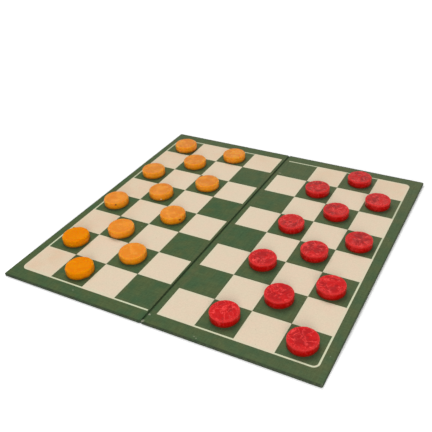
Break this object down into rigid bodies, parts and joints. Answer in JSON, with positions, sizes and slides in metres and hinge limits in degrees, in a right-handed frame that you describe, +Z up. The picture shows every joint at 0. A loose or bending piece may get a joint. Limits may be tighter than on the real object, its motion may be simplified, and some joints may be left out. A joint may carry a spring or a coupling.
{
  "type": "checkers set",
  "caption": "Folding cloth-covered checkers board lying open, with amber and red round men standing on its dark squares.",
  "frame": {"origin": "centre of the open board's outline, at the underside that rests on the table", "axes": "+X from the amber side to the red side, across the fold; +Y from the front edge to the back edge, along the fold; +Z up out of the playing face"},
  "size_m": [0.3902, 0.3892, 0.0129],
  "materials": {
    "green_cloth": "fine-grained bookbinding cloth, matt, green",
    "cream_print": "matt cream ink printed on the cloth",
    "greyboard": "pressed greyboard",
    "lining_paper": "dark matt lining paper",
    "amber_resin": "polished cast resin, butterscotch amber",
    "red_resin": "polished cast resin, marbled red"
  },
  "bodies": {
    "right_half": {"right_board_core": "greyboard", "right_cover_cloth": "green_cloth", "right_light_print": "cream_print", "right_back_lining": "lining_paper", "fold_cloth": "green_cloth"},
    "left_half": {"left_board_core": "greyboard", "left_cover_cloth": "green_cloth", "left_light_print": "cream_print", "left_back_lining": "lining_paper"},
    "amber_checker_01": {"amber_checker_01": "amber_resin"},
    "amber_checker_02": {"amber_checker_02": "amber_resin"},
    "amber_checker_03": {"amber_checker_03": "amber_resin"},
    "amber_checker_04": {"amber_checker_04": "amber_resin"},
    "amber_checker_05": {"amber_checker_05": "amber_resin"},
    "amber_checker_06": {"amber_checker_06": "amber_resin"},
    "amber_checker_07": {"amber_checker_07": "amber_resin"},
    "amber_checker_08": {"amber_checker_08": "amber_resin"},
    "amber_checker_09": {"amber_checker_09": "amber_resin"},
    "amber_checker_10": {"amber_checker_10": "amber_resin"},
    "amber_checker_11": {"amber_checker_11": "amber_resin"},
    "amber_checker_12": {"amber_checker_12": "amber_resin"},
    "red_checker_01": {"red_checker_01": "red_resin"},
    "red_checker_02": {"red_checker_02": "red_resin"},
    "red_checker_03": {"red_checker_03": "red_resin"},
    "red_checker_04": {"red_checker_04": "red_resin"},
    "red_checker_05": {"red_checker_05": "red_resin"},
    "red_checker_06": {"red_checker_06": "red_resin"},
    "red_checker_07": {"red_checker_07": "red_resin"},
    "red_checker_08": {"red_checker_08": "red_resin"},
    "red_checker_09": {"red_checker_09": "red_resin"},
    "red_checker_10": {"red_checker_10": "red_resin"},
    "red_checker_11": {"red_checker_11": "red_resin"},
    "red_checker_12": {"red_checker_12": "red_resin"}
  },
  "joints": [
    {"name": "board_fold", "type": "hinge", "parent": "right_half", "child": "left_half", "pos_m": [-0.0041, 0, 0.0035], "axis": [0, 1, 0], "range_deg": [0, 168], "deforming": ["fold_cloth"]},
    {"name": "amber_checker_01_lift", "type": "slide", "parent": "left_half", "child": "amber_checker_01", "axis": [0, 0, -1], "range_m": [-0.04, 0]},
    {"name": "amber_checker_02_lift", "type": "slide", "parent": "left_half", "child": "amber_checker_02", "axis": [0, 0, -1], "range_m": [-0.04, 0]},
    {"name": "amber_checker_03_lift", "type": "slide", "parent": "left_half", "child": "amber_checker_03", "axis": [0, 0, -1], "range_m": [-0.04, 0]},
    {"name": "amber_checker_04_lift", "type": "slide", "parent": "left_half", "child": "amber_checker_04", "axis": [0, 0, -1], "range_m": [-0.04, 0]},
    {"name": "amber_checker_05_lift", "type": "slide", "parent": "left_half", "child": "amber_checker_05", "axis": [0, 0, -1], "range_m": [-0.04, 0]},
    {"name": "amber_checker_06_lift", "type": "slide", "parent": "left_half", "child": "amber_checker_06", "axis": [0, 0, -1], "range_m": [-0.04, 0]},
    {"name": "amber_checker_07_lift", "type": "slide", "parent": "left_half", "child": "amber_checker_07", "axis": [0, 0, -1], "range_m": [-0.04, 0]},
    {"name": "amber_checker_08_lift", "type": "slide", "parent": "left_half", "child": "amber_checker_08", "axis": [0, 0, -1], "range_m": [-0.04, 0]},
    {"name": "amber_checker_09_lift", "type": "slide", "parent": "left_half", "child": "amber_checker_09", "axis": [0, 0, -1], "range_m": [-0.04, 0]},
    {"name": "amber_checker_10_lift", "type": "slide", "parent": "left_half", "child": "amber_checker_10", "axis": [0, 0, -1], "range_m": [-0.04, 0]},
    {"name": "amber_checker_11_lift", "type": "slide", "parent": "left_half", "child": "amber_checker_11", "axis": [0, 0, -1], "range_m": [-0.04, 0]},
    {"name": "amber_checker_12_lift", "type": "slide", "parent": "left_half", "child": "amber_checker_12", "axis": [0, 0, -1], "range_m": [-0.04, 0]},
    {"name": "red_checker_01_lift", "type": "slide", "parent": "right_half", "child": "red_checker_01", "axis": [0, 0, -1], "range_m": [-0.04, 0]},
    {"name": "red_checker_02_lift", "type": "slide", "parent": "right_half", "child": "red_checker_02", "axis": [0, 0, -1], "range_m": [-0.04, 0]},
    {"name": "red_checker_03_lift", "type": "slide", "parent": "right_half", "child": "red_checker_03", "axis": [0, 0, -1], "range_m": [-0.04, 0]},
    {"name": "red_checker_04_lift", "type": "slide", "parent": "right_half", "child": "red_checker_04", "axis": [0, 0, -1], "range_m": [-0.04, 0]},
    {"name": "red_checker_05_lift", "type": "slide", "parent": "right_half", "child": "red_checker_05", "axis": [0, 0, -1], "range_m": [-0.04, 0]},
    {"name": "red_checker_06_lift", "type": "slide", "parent": "right_half", "child": "red_checker_06", "axis": [0, 0, -1], "range_m": [-0.04, 0]},
    {"name": "red_checker_07_lift", "type": "slide", "parent": "right_half", "child": "red_checker_07", "axis": [0, 0, -1], "range_m": [-0.04, 0]},
    {"name": "red_checker_08_lift", "type": "slide", "parent": "right_half", "child": "red_checker_08", "axis": [0, 0, -1], "range_m": [-0.04, 0]},
    {"name": "red_checker_09_lift", "type": "slide", "parent": "right_half", "child": "red_checker_09", "axis": [0, 0, -1], "range_m": [-0.04, 0]},
    {"name": "red_checker_10_lift", "type": "slide", "parent": "right_half", "child": "red_checker_10", "axis": [0, 0, -1], "range_m": [-0.04, 0]},
    {"name": "red_checker_11_lift", "type": "slide", "parent": "right_half", "child": "red_checker_11", "axis": [0, 0, -1], "range_m": [-0.04, 0]},
    {"name": "red_checker_12_lift", "type": "slide", "parent": "right_half", "child": "red_checker_12", "axis": [0, 0, -1], "range_m": [-0.04, 0]}
  ]
}
